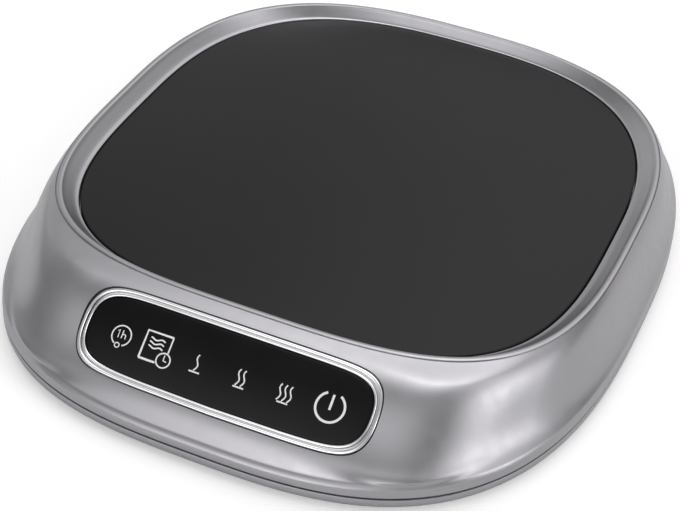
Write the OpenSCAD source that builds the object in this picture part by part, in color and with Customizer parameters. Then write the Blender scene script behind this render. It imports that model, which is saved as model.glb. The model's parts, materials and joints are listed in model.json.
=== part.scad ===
// Electric mug warmer with a glass hot plate and a touch panel on its front slope.
// Millimetres. The origin lies on the table, under the middle of the base; the front looks towards -Y.

/* [Body] */
// Overall height from the table to the top of the rim
body_height = 22.9; // [21.5:0.1:26]
// Width of the base
base_width = 152.2; // [146:0.2:165]
// Depth of the base, front to back
base_depth = 185.8; // [180:0.2:200]
// How far the rim stands in from the front edge of the base
front_slope = 28.4; // [27:0.2:30]
// How far the rim stands in from the back edge of the base
back_slope = 19; // [17:0.2:20]
// How far the rim stands in from each side of the base
side_slope = 6.7; // [5.5:0.1:9]
// Fullness of the base's front corners
base_front_power = 2.9; // [2.5:0.05:3.3]
// Fullness of the base's back corners
base_back_power = 2.55; // [2.4:0.05:3]
// Fullness of the rim's front corners
rim_front_power = 3.4; // [2.9:0.05:3.6]
// Fullness of the rim's back corners
rim_back_power = 2.7; // [2.5:0.05:3.2]
// Wall of the shell
wall = 1.6; // [1.2:0.1:2]
// Height of the soft edge at the foot of the slope
crease_height = 7.2; // [6.8:0.1:8]
// How far that edge stands in from the side of the base, as a share of the slope
crease_share = 0.055; // [0.03:0.005:0.08]
// How strongly the front slope eases out at its top and foot
front_ease = 0.65; // [0.4:0.05:0.8]
// How strongly the back slope eases out at its top and foot
back_ease = 0.1; // [0:0.05:0.4]
// Height of the silver band of the base
band_height = 2.7; // [2.2:0.1:3]
// Open line between the shell and the base
seam_gap = 0.4; // [0.3:0.05:0.6]

/* [Rim] */
// Width of the rim at its sides, from its outer edge to the glass recess
rim_band = 5.4; // [4.8:0.1:6]
// Width of the rim's rounded crest at its sides
rim_top = 0.9; // [0.7:0.1:1.2]
// Width of the soft foot where the rim's bank runs out beside the glass
rim_foot = 1.2; // [0.9:0.1:1.6]
// Width of the rim at its front and back, as a share of its width at the sides
rim_end_share = 0.6; // [0.55:0.05:0.9]
// How far the glass lies below the top of the rim
rim_drop = 2.9; // [2.4:0.1:3.4]
// Width of the ledge that carries the glass
ledge_width = 5.3; // [4.6:0.1:6]
// Thickness of the ledge
ledge_thickness = 2; // [1.6:0.1:2.4]

/* [Glass and heater] */
// Thickness of the glass plate
glass_thickness = 3; // [2.8:0.1:3.4]
// Gap between the glass and the recess
glass_gap = 0.35; // [0.2:0.05:0.5]
// Thickness of the silicone gasket
gasket_thickness = 0.7; // [0.5:0.1:1]
// Width of the silicone gasket
gasket_width = 4; // [3:0.1:4.4]
// Diameter of the heat spreader
spreader_diameter = 98; // [90:1:102]
// Thickness of the heat spreader
spreader_thickness = 1.5; // [1.2:0.1:1.8]
// Thickness of the heater foil
foil_thickness = 0.6; // [0.4:0.1:0.8]
// Thickness of the insulation felt
felt_thickness = 3; // [2.5:0.1:3.2]
// Sheet thickness of the heater pan
pan_thickness = 0.8; // [0.6:0.1:1]

/* [Touch panel] */
// Length of the panel over its chrome ring
panel_length = 72.2; // [68:0.2:74]
// Height of the panel over its chrome ring
panel_height = 20; // [19:0.1:21]
// Tilt of the panel from level
panel_tilt = 38; // [36:0.5:40]
// How far the middle of the panel lies in from the front edge
panel_inset = 16.5; // [16:0.1:17]
// Height of the middle of the panel above the table
panel_rise = 15.6; // [15.3:0.1:16]
// Width of the chrome ring
bezel_width = 2.4; // [2:0.1:2.8]
// How far the chrome ring stands out of its pocket's plane
bezel_proud = 0.3; // [0.1:0.05:0.5]
// Gap round the chrome ring
bezel_gap = 0.25; // [0.15:0.05:0.4]
// Thickness of the lens
lens_thickness = 2.2; // [1.8:0.1:2.4]
// Depth of the chambers between the lens and the touch board
chamber_depth = 2; // [1.8:0.1:2.4]
// Distance between the middles of neighbouring keys
key_pitch = 10.6; // [9.8:0.1:11]
// Number of keys
key_count = 6; // [5:1:6]

/* [Boards] */
// Length of the main board
board_length = 88; // [80:1:92]
// Width of the main board
board_width = 23; // [21:1:24]
// Thickness of a circuit board
board_thickness = 1.6; // [1.2:0.1:1.8]
// Height of the main board above the floor of the base
board_lift = 1.5; // [1.3:0.1:2]

/* [Base] */
// Thickness of the floor of the base
floor_thickness = 2; // [1.8:0.1:2.4]
// Height of the feet below the base
foot_drop = 1.1; // [1:0.1:1.6]
// Diameter of a foot
foot_diameter = 14; // [12:0.5:16]
// Depth of the seat that holds a foot
foot_seat = 0.8; // [0.6:0.1:1]
// Bore of the cord gland
cord_bore = 5; // [4.6:0.1:5.2]
// How far the cord gland sits in from the back edge
gland_inset = 5; // [4.6:0.1:5.4]

/* [Screws] */
// Shank diameter of the base screws
base_screw = 3; // [2.8:0.1:3.2]
// Shank diameter of the pan screws
pan_screw = 2.6; // [2.4:0.1:2.8]
// Shank diameter of the small screws
small_screw = 2; // [1.8:0.1:2.2]
// Diameter of the posts that take the screws
post_diameter = 7; // [6.5:0.1:7.6]

/* [Hidden] */
$fn = 48;

silver = "#a9a8ad";
chrome = "#d8dadd";
steel = "#b9bcc0";
black = "#1b1b1d";

// Steps round an outline, and steps up the slope
outline_steps = 80;
slope_steps = 9;
inner_steps = 6;
panel_steps = 72;

// Heights above the table
base_bottom = foot_drop;
band_top = base_bottom + band_height;
shell_bottom = band_top + seam_gap;
floor_top = base_bottom + floor_thickness;
glass_top = body_height - rim_drop;
glass_bottom = glass_top - glass_thickness;
ledge_top = glass_bottom - gasket_thickness;
ledge_bottom = ledge_top - ledge_thickness;
spreader_bottom = glass_bottom - spreader_thickness;
foil_bottom = spreader_bottom - foil_thickness;
felt_bottom = foil_bottom - felt_thickness;
pan_bottom = felt_bottom - pan_thickness;
post_bottom = floor_top + 2.5;
board_bottom = floor_top + board_lift;
board_top = board_bottom + board_thickness;

// The rim, measured over its outer edge, and how far it sits behind the middle of the base
rim_width = base_width - 2 * side_slope;
rim_depth = base_depth - front_slope - back_slope;
rim_shift = (front_slope - back_slope) / 2;

// Outlines as [half width, half depth, shift, front power, back power]
base_outline = [base_width / 2, base_depth / 2, 0, base_front_power, base_back_power];
rim_outline = [rim_width / 2, rim_depth / 2, rim_shift, rim_front_power, rim_back_power];
function inset_both(outline, across, along) =
    [outline[0] - across, outline[1] - along, outline[2], outline[3], outline[4]];
function inset_by(outline, inset) = inset_both(outline, inset, inset);
function inset_rim(inset) = inset_both(rim_outline, inset, inset * rim_end_share);
recess_outline = inset_rim(rim_band);
function between(low, high, share) = low + (high - low) * share;
function ease(value, low, high) =
    let (share = min(1, max(0, (value - low) / (high - low)))) share * share * (3 - 2 * share);

// A point of an outline: a rounded square whose front stretch can be flattened behind the panel
flat_reach = panel_length / 2 - 2;
flat_fade = 24;
function outline_point(outline, angle, flatness = 0) =
    let (power = sin(angle) < 0 ? outline[3] : outline[4],
        across = outline[0] * sign(cos(angle)) * pow(abs(cos(angle)), 2 / power),
        retreat = outline[1] * (1 - pow(abs(sin(angle)), 2 / power)),
        kept = sin(angle) < 0 ?
            1 - flatness * (1 - ease(abs(across), flat_reach, flat_reach + flat_fade)) : 1,
        along = sin(angle) < 0 ? retreat * kept - outline[1] : outline[1] - retreat)
    [across, outline[2] + along];
function outline_points(outline, steps = outline_steps) =
    [for (i = [0:steps - 1]) outline_point(outline, 360 * i / steps)];

// The slope of the shell: share 0 is the side of the base, share 1 the edge of the rim
function slope_outline(share) = between(base_outline, rim_outline, share);
function slope_height(share, angle) =
    let (climb = (share - crease_share) / (1 - crease_share),
        bend = between(back_ease, front_ease, (1 - sin(angle)) / 2))
    crease_height + (body_height - crease_height) * (climb - bend * sin(360 * climb) / (2 * PI));
function slope_flatness(share) = 0.8 * ease(share, 0, 0.25) * (1 - ease(share, 0.86, 1));
function slope_point(share, angle, inset, drop) =
    let (p = outline_point(inset_by(slope_outline(share), inset), angle, slope_flatness(share)))
    [p[0], p[1], slope_height(share, angle) - drop];
function slope_ring(share, inset, drop) =
    [for (i = [0:outline_steps - 1]) slope_point(share, 360 * i / outline_steps, inset, drop)];
function level_ring(outline, height) =
    [for (i = [0:outline_steps - 1])
        let (p = outline_point(outline, 360 * i / outline_steps)) [p[0], p[1], height]];
function base_ring(inset, height) = level_ring(inset_by(base_outline, inset), height);
function rim_ring(inset, height) = level_ring(inset_rim(inset), height);
function recess_ring(inset, height) = level_ring(inset_by(recess_outline, inset), height);

// Joins rings of points into a closed skin, either round on itself or capped at both ends
module skin(rings, capped) {
    count = len(rings[0]);
    last = len(rings) - 1;
    spans = capped ? last : len(rings);
    points = [for (one = rings) for (p = one) p];
    sides = [for (r = [0:spans - 1]) for (i = [0:count - 1])
        let (a = r * count, b = (r + 1) % len(rings) * count, j = (i + 1) % count)
        each [[a + i, b + i, b + j], [a + i, b + j, a + j]]];
    first_cap = [for (i = [0:count - 1]) i];
    last_cap = [for (i = [0:count - 1]) last * count + count - 1 - i];
    caps = capped ? [first_cap, last_cap] : [];
    polyhedron(points, concat(sides, caps), convexity = 8);
}

// Places where the screws go, as points on the ledge
ledge_line = inset_by(recess_outline, ledge_width / 2);
base_screw_angles = [-45, 30, 150, 225];
pan_screw_angles = [-12, 60, 120, 192];
base_screw_places = [for (a = base_screw_angles) outline_point(ledge_line, a)];
pan_screw_places = [for (a = pan_screw_angles) outline_point(ledge_line, a)];

// The panel's own frame: X along it, Y up the slope, Z out of it
panel_y = panel_inset - base_depth / 2;
module on_panel() {
    translate([0, panel_y, panel_rise]) rotate([panel_tilt, 0, 0]) children();
}
// Outline of the panel, a long rounded shape with a slightly bowed lower edge
panel_end_power = 10.7;
panel_edge_power = 2.53;
panel_bow = 1;
function panel_point(inset, angle) =
    let (half_length = panel_length / 2 - inset, half_height = panel_height / 2 - inset,
        across = half_length * sign(cos(angle)) * pow(abs(cos(angle)), 2 / panel_end_power),
        up = half_height * sign(sin(angle)) * pow(abs(sin(angle)), 2 / panel_edge_power),
        bow = up < 0 ? panel_bow * (1 - pow(across / half_length, 2)) * up / half_height : 0)
    [across, up + bow];
module panel_shape(inset) {
    polygon([for (i = [0:panel_steps - 1]) panel_point(inset, 360 * i / panel_steps)]);
}
module panel_slab(inset, low, high) {
    translate([0, 0, low]) linear_extrude(high - low) panel_shape(inset);
}
pocket_floor = -lens_thickness - 0.2;
seat_back = pocket_floor - chamber_depth;
seat_margin = 1.5;
opening_inset = bezel_width + 2.2;
touch_board_thickness = 1;
touch_screw_x = panel_length / 2 - opening_inset / 2 + 0.2;
key_places = [for (i = [0:key_count - 1]) (i - (key_count - 1) / 2) * key_pitch];

// Low inner wall of the base that the shell slips over, and its clearance
spigot_height = 1;
spigot_gap = 0.3;
spigot_inset = wall + spigot_gap;

// Cord entry at the back, in a round seat sunk into the foot of the slope
gland_neck = cord_bore / 2 + 0.7;
gland_flange = gland_neck + 0.7;
gland_boss = gland_flange + 0.7;
seat_radius = gland_flange + 0.3;
seat_wall = 1;
seat_bottom = band_top + spigot_height + 0.2;
gland_height = seat_bottom + seat_wall + seat_radius;
flange_thickness = 1;
boss_face = base_depth / 2 - gland_inset - flange_thickness;
boss_length = 8.5;
clamp_width = 5;
clamp_y = boss_face - boss_length - flange_thickness - 0.5 - clamp_width / 2;

// Head of the small screws
small_head = 3.8;
small_head_height = 1.3;
module screw(shank, length, head_diameter, head_height) {
    cylinder(d = shank, h = length);
    translate([0, 0, -head_height]) difference() {
        cylinder(d = head_diameter, h = head_height);
        for (turn = [0, 90]) rotate(turn) translate([-head_diameter * 0.3, -0.3, -1])
            cube([head_diameter * 0.6, 0.6, 1 + head_height / 2]);
    }
}

// Rings of the shell, from its lower lip up the slope, over the rim, under the ledge and back down inside
shell_rings = concat(
    [base_ring(0.15, shell_bottom), base_ring(0, shell_bottom + 0.2),
        base_ring(0.15, crease_height - 1.3), slope_ring(crease_share * 0.35, 0, 0.15)],
    [for (i = [0:slope_steps]) slope_ring(between(crease_share, 1, i / slope_steps), 0,
        i == slope_steps ? 0.3 : 0)],
    [rim_ring(0.3, body_height), rim_ring(rim_top, body_height - 0.06),
        rim_ring(rim_top + 0.3, body_height - 0.25), rim_ring(rim_band - rim_foot, glass_top + 0.42),
        rim_ring(rim_band - rim_foot / 2, glass_top + 0.1),
        rim_ring(rim_band - 0.25, glass_top), rim_ring(rim_band, glass_top - 0.2), recess_ring(0, ledge_top),
        recess_ring(ledge_width, ledge_top), recess_ring(ledge_width, ledge_bottom),
        recess_ring(-wall, ledge_bottom), recess_ring(-wall, glass_top - 2)],
    [for (i = [0:inner_steps]) slope_ring(between(0.9, crease_share, i / inner_steps), wall, wall)],
    [base_ring(wall, shell_bottom)]);

// Solid block round the cord seat; its top lies in the middle of the shell's wall
seat_share = 0.3;
seat_steps = 4;
back_angle = 90;
function wall_middle(share) =
    let (p = slope_point(share, back_angle, wall / 2, wall / 2)) [p[1], p[2]];
module cord_block() {
    inner_end = boss_face - boss_length;
    half_width = seat_radius + seat_wall;
    translate([-half_width, 0, 0]) rotate([90, 0, 90]) linear_extrude(2 * half_width) polygon(concat(
        [[inner_end, gland_height], [inner_end, seat_bottom], [base_depth / 2 - wall / 2, seat_bottom]],
        [for (i = [0:seat_steps]) wall_middle(between(crease_share, seat_share, i / seat_steps))]));
}
module along_cord(start) {
    translate([0, start, gland_height]) rotate([-90, 0, 0]) children();
}

module shell_post(place, low) {
    translate([place[0], place[1], low]) cylinder(d = post_diameter, h = ledge_bottom + 1 - low);
}

module upper_housing() color(silver) difference() {
    union() {
        skin(shell_rings, false);
        on_panel() panel_slab(-seat_margin, seat_back, -0.9);
        cord_block();
        along_cord(boss_face - boss_length) cylinder(r = gland_boss, h = boss_length);
        for (place = base_screw_places) shell_post(place, post_bottom);
        for (place = pan_screw_places) shell_post(place, felt_bottom);
    }
    on_panel() {
        panel_slab(-bezel_gap, pocket_floor, 8);
        panel_slab(opening_inset, seat_back - 4, 1);
        for (side = [-1, 1]) translate([side * touch_screw_x, 0, seat_back - 1])
            cylinder(d = small_screw, h = 3);
    }
    for (place = base_screw_places) translate([place[0], place[1], post_bottom - 1])
        cylinder(d = base_screw, h = 8);
    for (place = pan_screw_places) translate([place[0], place[1], felt_bottom - 1])
        cylinder(d = pan_screw, h = 5);
    along_cord(boss_face - boss_length - 1) cylinder(r = gland_neck, h = boss_length + 2);
    along_cord(boss_face) cylinder(r = seat_radius, h = 2 * gland_inset);
}

module base_housing() color(silver) difference() {
    union() {
        skin([base_ring(6, base_bottom), base_ring(1.4, base_bottom), base_ring(0.4, base_bottom + 0.4),
            base_ring(0, base_bottom + 1.2), base_ring(0, band_top - 0.15), base_ring(0.15, band_top),
            base_ring(spigot_inset, band_top), base_ring(spigot_inset, band_top + spigot_height),
            base_ring(spigot_inset + wall, band_top + spigot_height),
            base_ring(spigot_inset + wall, floor_top)], true);
        for (place = base_screw_places) translate([place[0], place[1], floor_top - 0.5])
            cylinder(d = post_diameter + 1, h = post_bottom - floor_top + 0.5);
        for (place = board_screw_places) translate([place[0], place[1], floor_top - 0.5])
            cylinder(d = 5, h = board_bottom - floor_top + 0.5);
        translate([-clamp_length / 2, clamp_y - clamp_width / 2, floor_top - 0.5])
            cube([clamp_length, clamp_width, clamp_seat - floor_top + 0.5]);
    }
    for (place = base_screw_places) translate([place[0], place[1], 0]) {
        cylinder(d = base_screw + 0.3, h = post_bottom + 1);
        cylinder(d = base_screw + 3, h = base_bottom + 2);
    }
    for (place = board_screw_places) translate([place[0], place[1], floor_top - 0.7])
        cylinder(d = small_screw, h = board_lift + 1);
    for (place = foot_places) translate([place[0], place[1], 0])
        cylinder(d = foot_diameter, h = base_bottom + foot_seat);
    for (side = [-1, 1]) translate([side * clamp_screw_x, clamp_y, clamp_seat - clamp_screw_drop - 0.5])
        cylinder(d = small_screw, h = clamp_screw_drop + 1);
    for (row = [-1, 1]) for (i = [-vent_count / 2 + 0.5:vent_count / 2 - 0.5])
        translate([i * vent_pitch - vent_width / 2, rim_shift + row * vent_row - vent_length / 2, 0])
            cube([vent_width, vent_length, floor_top + 1]);
}
vent_count = 8;
vent_pitch = 6;
vent_width = 2.4;
vent_length = 18;
vent_row = 24;

// Feet
foot_line = inset_by(base_outline, foot_diameter / 2 + 7);
foot_corner = outline_point(foot_line, 48);
foot_places = [for (x = [-1, 1]) for (y = [-1, 1]) [x * foot_corner[0], y * foot_corner[1]]];
module rubber_feet() color(black) for (place = foot_places) translate([place[0], place[1], 0]) {
    cylinder(d = foot_diameter - 0.4, h = base_bottom + foot_seat);
}

// Glass plate and what lies under it
glass_outline = inset_by(recess_outline, glass_gap);
module glass_plate() color("#2c2b2e") translate([0, 0, glass_bottom])
    linear_extrude(glass_thickness) polygon(outline_points(glass_outline, 120));
module glass_gasket() color("#3a3a3c") translate([0, 0, ledge_top]) linear_extrude(gasket_thickness)
    difference() {
        polygon(outline_points(inset_by(glass_outline, 0.5)));
        polygon(outline_points(inset_by(glass_outline, 0.5 + gasket_width)));
    }
module heater_disc(diameter, low, thickness) {
    translate([0, rim_shift, low]) cylinder(d = diameter, h = thickness, $fn = 96);
}
sensor_place = [0, rim_shift + 14];
sensor_diameter = 4.4;
module heat_spreader() color("#c9cbce") heater_disc(spreader_diameter, spreader_bottom, spreader_thickness);
module heater_foil() color("#8d6a3a") heater_disc(spreader_diameter - 4, foil_bottom, foil_thickness);
module insulation_pad() color("#d9d5c8") difference() {
    heater_disc(spreader_diameter - 1, felt_bottom, felt_thickness);
    translate([sensor_place[0], sensor_place[1], felt_bottom - 1])
        cylinder(d = sensor_diameter + 0.6, h = felt_thickness + 2);
}
pan_radius = spreader_diameter / 2 + 1.2;
module heater_pan() color(steel) difference() {
    union() {
        heater_disc(2 * pan_radius, pan_bottom, felt_thickness + pan_thickness - 0.6);
        for (place = pan_screw_places) pan_arm(place);
    }
    heater_disc(2 * pan_radius - 2 * pan_thickness, felt_bottom, felt_thickness + 2);
    for (place = pan_screw_places) translate([place[0], place[1], pan_bottom - 1])
        cylinder(d = pan_screw + 0.4, h = pan_thickness + 2);
    translate([sensor_place[0], sensor_place[1], pan_bottom - 1])
        cylinder(d = sensor_diameter + 0.6, h = pan_thickness + 2);
    translate([lead_hole_x, rim_shift - spreader_diameter / 2 + 8, pan_bottom - 1])
        cylinder(d = 6, h = pan_thickness + 2);
}
lead_hole_x = 10;
// A flat arm from under the pan to a post
pan_arm_width = 10;
pan_eye = pan_arm_width + 1.6;
module pan_arm(place) {
    reach = norm([place[0], place[1] - rim_shift]);
    translate([0, rim_shift, pan_bottom]) rotate(atan2(place[1] - rim_shift, place[0]))
        translate([pan_radius - 6, -pan_arm_width / 2, 0])
            cube([reach - pan_radius + 6, pan_arm_width, pan_thickness]);
    translate([place[0], place[1], pan_bottom]) cylinder(d = pan_eye, h = pan_thickness);
}
module pan_screws() color(steel) for (place = pan_screw_places)
    translate([place[0], place[1], pan_bottom]) screw(pan_screw, 5, 5, 1.6);
module temperature_sensor() color("#c9c0a8") translate([sensor_place[0], sensor_place[1], pan_bottom - 1.4]) {
    cylinder(d = sensor_diameter, h = foil_bottom - pan_bottom + 1.4);
    cylinder(d = sensor_diameter + 3, h = 1.4);
}

// Thermal fuse lying under the pan, in its clip
fuse_body_radius = 1.9;
fuse_y = rim_shift - 14;
fuse_length = 12;
module thermal_fuse() color("#d8d4c4") translate([-fuse_length / 2, fuse_y, pan_bottom - fuse_body_radius])
    rotate([0, 90, 0]) cylinder(r = fuse_body_radius, h = fuse_length);
module fuse_clip() color(steel) difference() {
    translate([-3, fuse_y - 6, pan_bottom - 2 * fuse_body_radius - 0.5]) union() {
        translate([0, 3.4, 0]) cube([6, 5.2, 2 * fuse_body_radius + 0.5]);
        translate([0, 0, 2 * fuse_body_radius]) cube([6, 12, 0.5]);
    }
    translate([-4, fuse_y, pan_bottom - fuse_body_radius]) rotate([0, 90, 0])
        cylinder(r = fuse_body_radius, h = 8);
    translate([-4, fuse_y - fuse_body_radius, pan_bottom - fuse_body_radius])
        cube([8, 2 * fuse_body_radius, fuse_body_radius + 1]);
}

// Touch panel
module panel_bezel() color(chrome) on_panel() difference() {
    panel_slab(0, pocket_floor, bezel_proud);
    panel_slab(bezel_width, pocket_floor - 1, bezel_proud + 1);
    panel_slab(bezel_width - 0.7, -0.1, bezel_proud + 1);
}
module panel_lens() color(black) on_panel()
    panel_slab(bezel_width + 0.1, pocket_floor, pocket_floor + lens_thickness);
guide_inset = opening_inset + 0.3;
key_hole = 7.4;
module light_guide() color("white") on_panel() difference() {
    panel_slab(guide_inset, seat_back, pocket_floor);
    for (x = key_places) translate([x, 0, seat_back - 1]) cylinder(d = key_hole, h = chamber_depth + 2);
}
module key_pads() color("#4a4a4e") on_panel() for (x = key_places) translate([x, 0, seat_back]) difference() {
    cylinder(d = key_hole - 0.4, h = chamber_depth);
    translate([0, 0, -1]) cylinder(d = key_hole - 2.8, h = chamber_depth + 2);
}
touch_board_margin = 0.6;
module touch_board() color("#1f5a38") on_panel() difference() {
    panel_slab(touch_board_margin, seat_back - touch_board_thickness, seat_back);
    for (side = [-1, 1]) translate([side * touch_screw_x, 0, seat_back - 3])
        cylinder(d = small_screw + 0.3, h = 4);
}
module indicator_lights() color("#f2f0d8") on_panel() for (x = key_places)
    translate([x - 1, -0.6, seat_back]) cube([2, 1.2, 0.8]);
module touch_board_screws() color(steel) on_panel() for (side = [-1, 1])
    translate([side * touch_screw_x, 0, seat_back - touch_board_thickness])
        screw(small_screw, 2.8, small_head - 0.2, small_head_height);

// Main board, under the front of the ledge and the slope
board_back = recess_outline[2] - recess_outline[1] + ledge_width + 7.2;
board_middle = board_back - board_width / 2;
board_screw_places = [for (x = [-1, 1]) for (y = [-1, 1])
    [x * (board_length / 2 - 3.5), board_middle + y * (board_width / 2 - 3.5)]];
// Height of the tallest part that fits between the main board and the ledge
headroom = ledge_bottom - board_top - 1.1;
module on_board(x, y) {
    translate([x, board_middle + y, board_top]) children();
}
module main_board() color("#2a6b3f") difference() {
    translate([-board_length / 2, board_middle - board_width / 2, board_bottom])
        cube([board_length, board_width, board_thickness]);
    for (place = board_screw_places) translate([place[0], place[1], board_bottom - 1])
        cylinder(d = small_screw + 0.3, h = board_thickness + 2);
}
block_length = 14;
block_width = 7.6;
block_height = headroom;
block_x = -30;
block_y = 6;
module terminal_block() color("#2f7d4f") on_board(block_x, block_y) difference() {
    translate([-block_length / 2, -block_width / 2, 0]) cube([block_length, block_width, block_height]);
    for (x = [-block_length / 4, block_length / 4]) {
        translate([x, -block_width, block_height / 2 - 0.6]) rotate([-90, 0, 0])
            cylinder(d = 2.6, h = 2 * block_width);
        translate([x, 0, block_height / 2]) cylinder(d = 3, h = block_height);
    }
}
module film_capacitor() color("#b0a13a") on_board(-15, 5)
    translate([-6.5, -3, 0]) cube([13, 6, headroom - 0.4]);
smoothing_radius = headroom / 2 - 0.15;
module smoothing_capacitors() color("#27406b") for (y = [-3.6, 3.6]) on_board(3.5, y)
    translate([-5.5, 0, smoothing_radius]) rotate([0, 90, 0]) difference() {
        cylinder(r = smoothing_radius, h = 11);
        translate([0, 0, 1.4]) rotate_extrude() translate([smoothing_radius, 0]) circle(r = 0.35, $fn = 16);
    }
choke_flange = 1;
choke_core = headroom - 1.4 - 2 * choke_flange;
module choke() color("#3a3a3a") on_board(15.5, 4) {
    cylinder(r = 4, h = choke_flange);
    translate([0, 0, choke_flange]) cylinder(r = 3, h = choke_core);
    translate([0, 0, choke_flange + choke_core]) cylinder(r = 4, h = choke_flange);
}
module power_switch() color("#26262a") on_board(30, 3.6) translate([-5, -4.5, 1]) cube([10, 9, 4.4]);
module heat_sink() color("#c0c3c7") on_board(30, 3.6) {
    translate([-6, -6, 0]) cube([12, 12.4, 1]);
    for (x = [-6, 5]) translate([x, -6, 1]) cube([1, 12.4, headroom - 1.6]);
}
fuse_glass_radius = 2.5;
fuse_glass_length = 20;
module input_fuse() color("#d9d9d2") on_board(-14, -5) translate([-fuse_glass_length / 2, 0, 3])
    rotate([0, 90, 0]) cylinder(r = fuse_glass_radius, h = fuse_glass_length);
module fuse_holder() color(steel) on_board(-14, -5) for (side = [-1, 1])
    translate([side * (fuse_glass_length / 2 - 3) - 2, 0, 0]) difference() {
        translate([0, -fuse_glass_radius - 0.6, 0]) cube([4, 2 * fuse_glass_radius + 1.2, 4.4]);
        translate([-1, 0, 3]) rotate([0, 90, 0]) cylinder(r = fuse_glass_radius, h = 6);
        translate([-1, -fuse_glass_radius, 3]) cube([6, 2 * fuse_glass_radius, 4]);
    }
module controller_chip() color("#222226") on_board(17, -6) {
    translate([-3.5, -3.5, 0.2]) cube([7, 7, 1.2]);
    for (side = [-1, 1]) for (i = [-3:3]) {
        translate([side * 4 - 0.5, i * 0.9 - 0.2, 0]) cube([1, 0.4, 0.5]);
        translate([i * 0.9 - 0.2, side * 4 - 0.5, 0]) cube([0.4, 1, 0.5]);
    }
}
socket_x = 31;
socket_y = -7;
module cable_socket() color("#e6e2d4") on_board(socket_x, socket_y) translate([-5.5, -1.8, 0]) difference() {
    cube([11, 3.6, 3.4]);
    translate([0.8, 0.7, 1]) cube([9.4, 2.2, 3]);
}
module board_screws() color(steel) for (place = board_screw_places) translate([place[0], place[1], board_top])
    mirror([0, 0, 1]) screw(small_screw, board_thickness + 1.2, small_head, small_head_height);

// A round lead along a route of points; each ring lies square to the route
lead_sides = 8;
function lead_axis(route, i) =
    let (d = route[min(len(route) - 1, i + 1)] - route[max(0, i - 1)]) d / norm(d);
function lead_ring(route, i, radius) =
    let (axis = lead_axis(route, i), helper = abs(axis[2]) > 0.9 ? [1, 0, 0] : [0, 0, 1],
        side = cross(axis, helper) / norm(cross(axis, helper)), up = cross(side, axis))
    [for (k = [0:lead_sides - 1]) route[i]
        + radius * (cos(360 * k / lead_sides) * side + sin(360 * k / lead_sides) * up)];
module lead(route, radius) {
    rings = [for (i = [0:len(route) - 1]) lead_ring(route, i, radius)];
    skin([for (i = [len(rings) - 1:-1:0]) rings[i]], true);
}

lead_radius = 1.1;
lead_floor = floor_top + lead_radius + 0.3;
block_entry_y = board_middle + block_y + block_width / 2;
block_entry_z = board_top + block_height / 2 - 0.6;
module mains_leads() color("#7a4a2a") for (side = [-1, 1]) lead([
    [side * 1.4, clamp_y + 2, gland_height],
    [side * 1.6, clamp_y - 6, gland_height - 0.5],
    [side * 1.8 - 2, clamp_y - 14, lead_floor + 1],
    [side * 1.8 - 8, clamp_y - 24, lead_floor],
    [side * 1.8 - 16, clamp_y - 40, lead_floor],
    [side * 1.8 - 22, clamp_y - 60, lead_floor],
    [side * 1.8 - 26, block_entry_y + 34, lead_floor],
    [side * 2.2 - 28, block_entry_y + 18, lead_floor],
    [block_x + side * 3, block_entry_y + 8, lead_floor + 0.6],
    [block_x + side * block_length / 4, block_entry_y + 3, block_entry_z],
    [block_x + side * block_length / 4, block_entry_y - 2.6, block_entry_z]], lead_radius);

heater_entry_y = rim_shift - spreader_diameter / 2 + 8;
module heater_leads() color("#e8e4da") for (side = [-1, 1]) lead([
    [lead_hole_x + side * 1.3, heater_entry_y, foil_bottom],
    [lead_hole_x + side * 1.3, heater_entry_y, felt_bottom],
    [lead_hole_x + side * 1.3, heater_entry_y - 0.5, pan_bottom - 1],
    [lead_hole_x + side * 1.3 + 0.5, heater_entry_y - 2.6, pan_bottom - 2.6],
    [lead_hole_x + side * 1.3 + 2, board_back + 2, board_top + 1.6],
    [lead_hole_x + side * 1.3 + 3, board_back - 1.6, board_top + 1.2],
    [lead_hole_x + side * 1.3 + 3, board_back - 2.2, board_top]], 0.8);

sensor_route_z = pan_bottom - 2.2;
module sensor_leads() color("#c23b32") {
    for (side = [-1, 1]) lead([
        [side * 1, sensor_place[1], pan_bottom - 1.4],
        [side * 1 + 0.4, sensor_place[1] - 0.4, sensor_route_z],
        [side * 1 + 4, sensor_place[1] - 4, sensor_route_z - 0.4],
        [side * 1 + 16, sensor_place[1] - 18, sensor_route_z - 0.6],
        [side * 1 + 22, sensor_place[1] - 36, sensor_route_z - 0.6],
        [side * 1 + 22, board_back + 6, sensor_route_z - 0.6],
        [side * 1 + 21, board_back + 1, board_top + 1.4],
        [side * 1 + 20.6, board_back - 1.6, board_top + 0.9],
        [side * 1 + 20.6, board_back - 2.2, board_top]], 0.5);
    for (side = [-1, 1]) lead([
        [side * fuse_length / 2, fuse_y, pan_bottom - fuse_body_radius],
        [side * (fuse_length / 2 + 3), fuse_y, pan_bottom - fuse_body_radius],
        [side * (fuse_length / 2 + 4.2), fuse_y - 1.6, pan_bottom - fuse_body_radius - 0.4],
        [side * (fuse_length / 2 + 1) - 4, fuse_y - 16, pan_bottom - fuse_body_radius - 1],
        [side * 3 - 3, board_back + 4, pan_bottom - fuse_body_radius - 1],
        [side * 3 - 4, board_back - 0.2, board_top + 1],
        [side * 3 - 4, board_back - 0.8, board_top]], 0.6);
}

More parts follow.
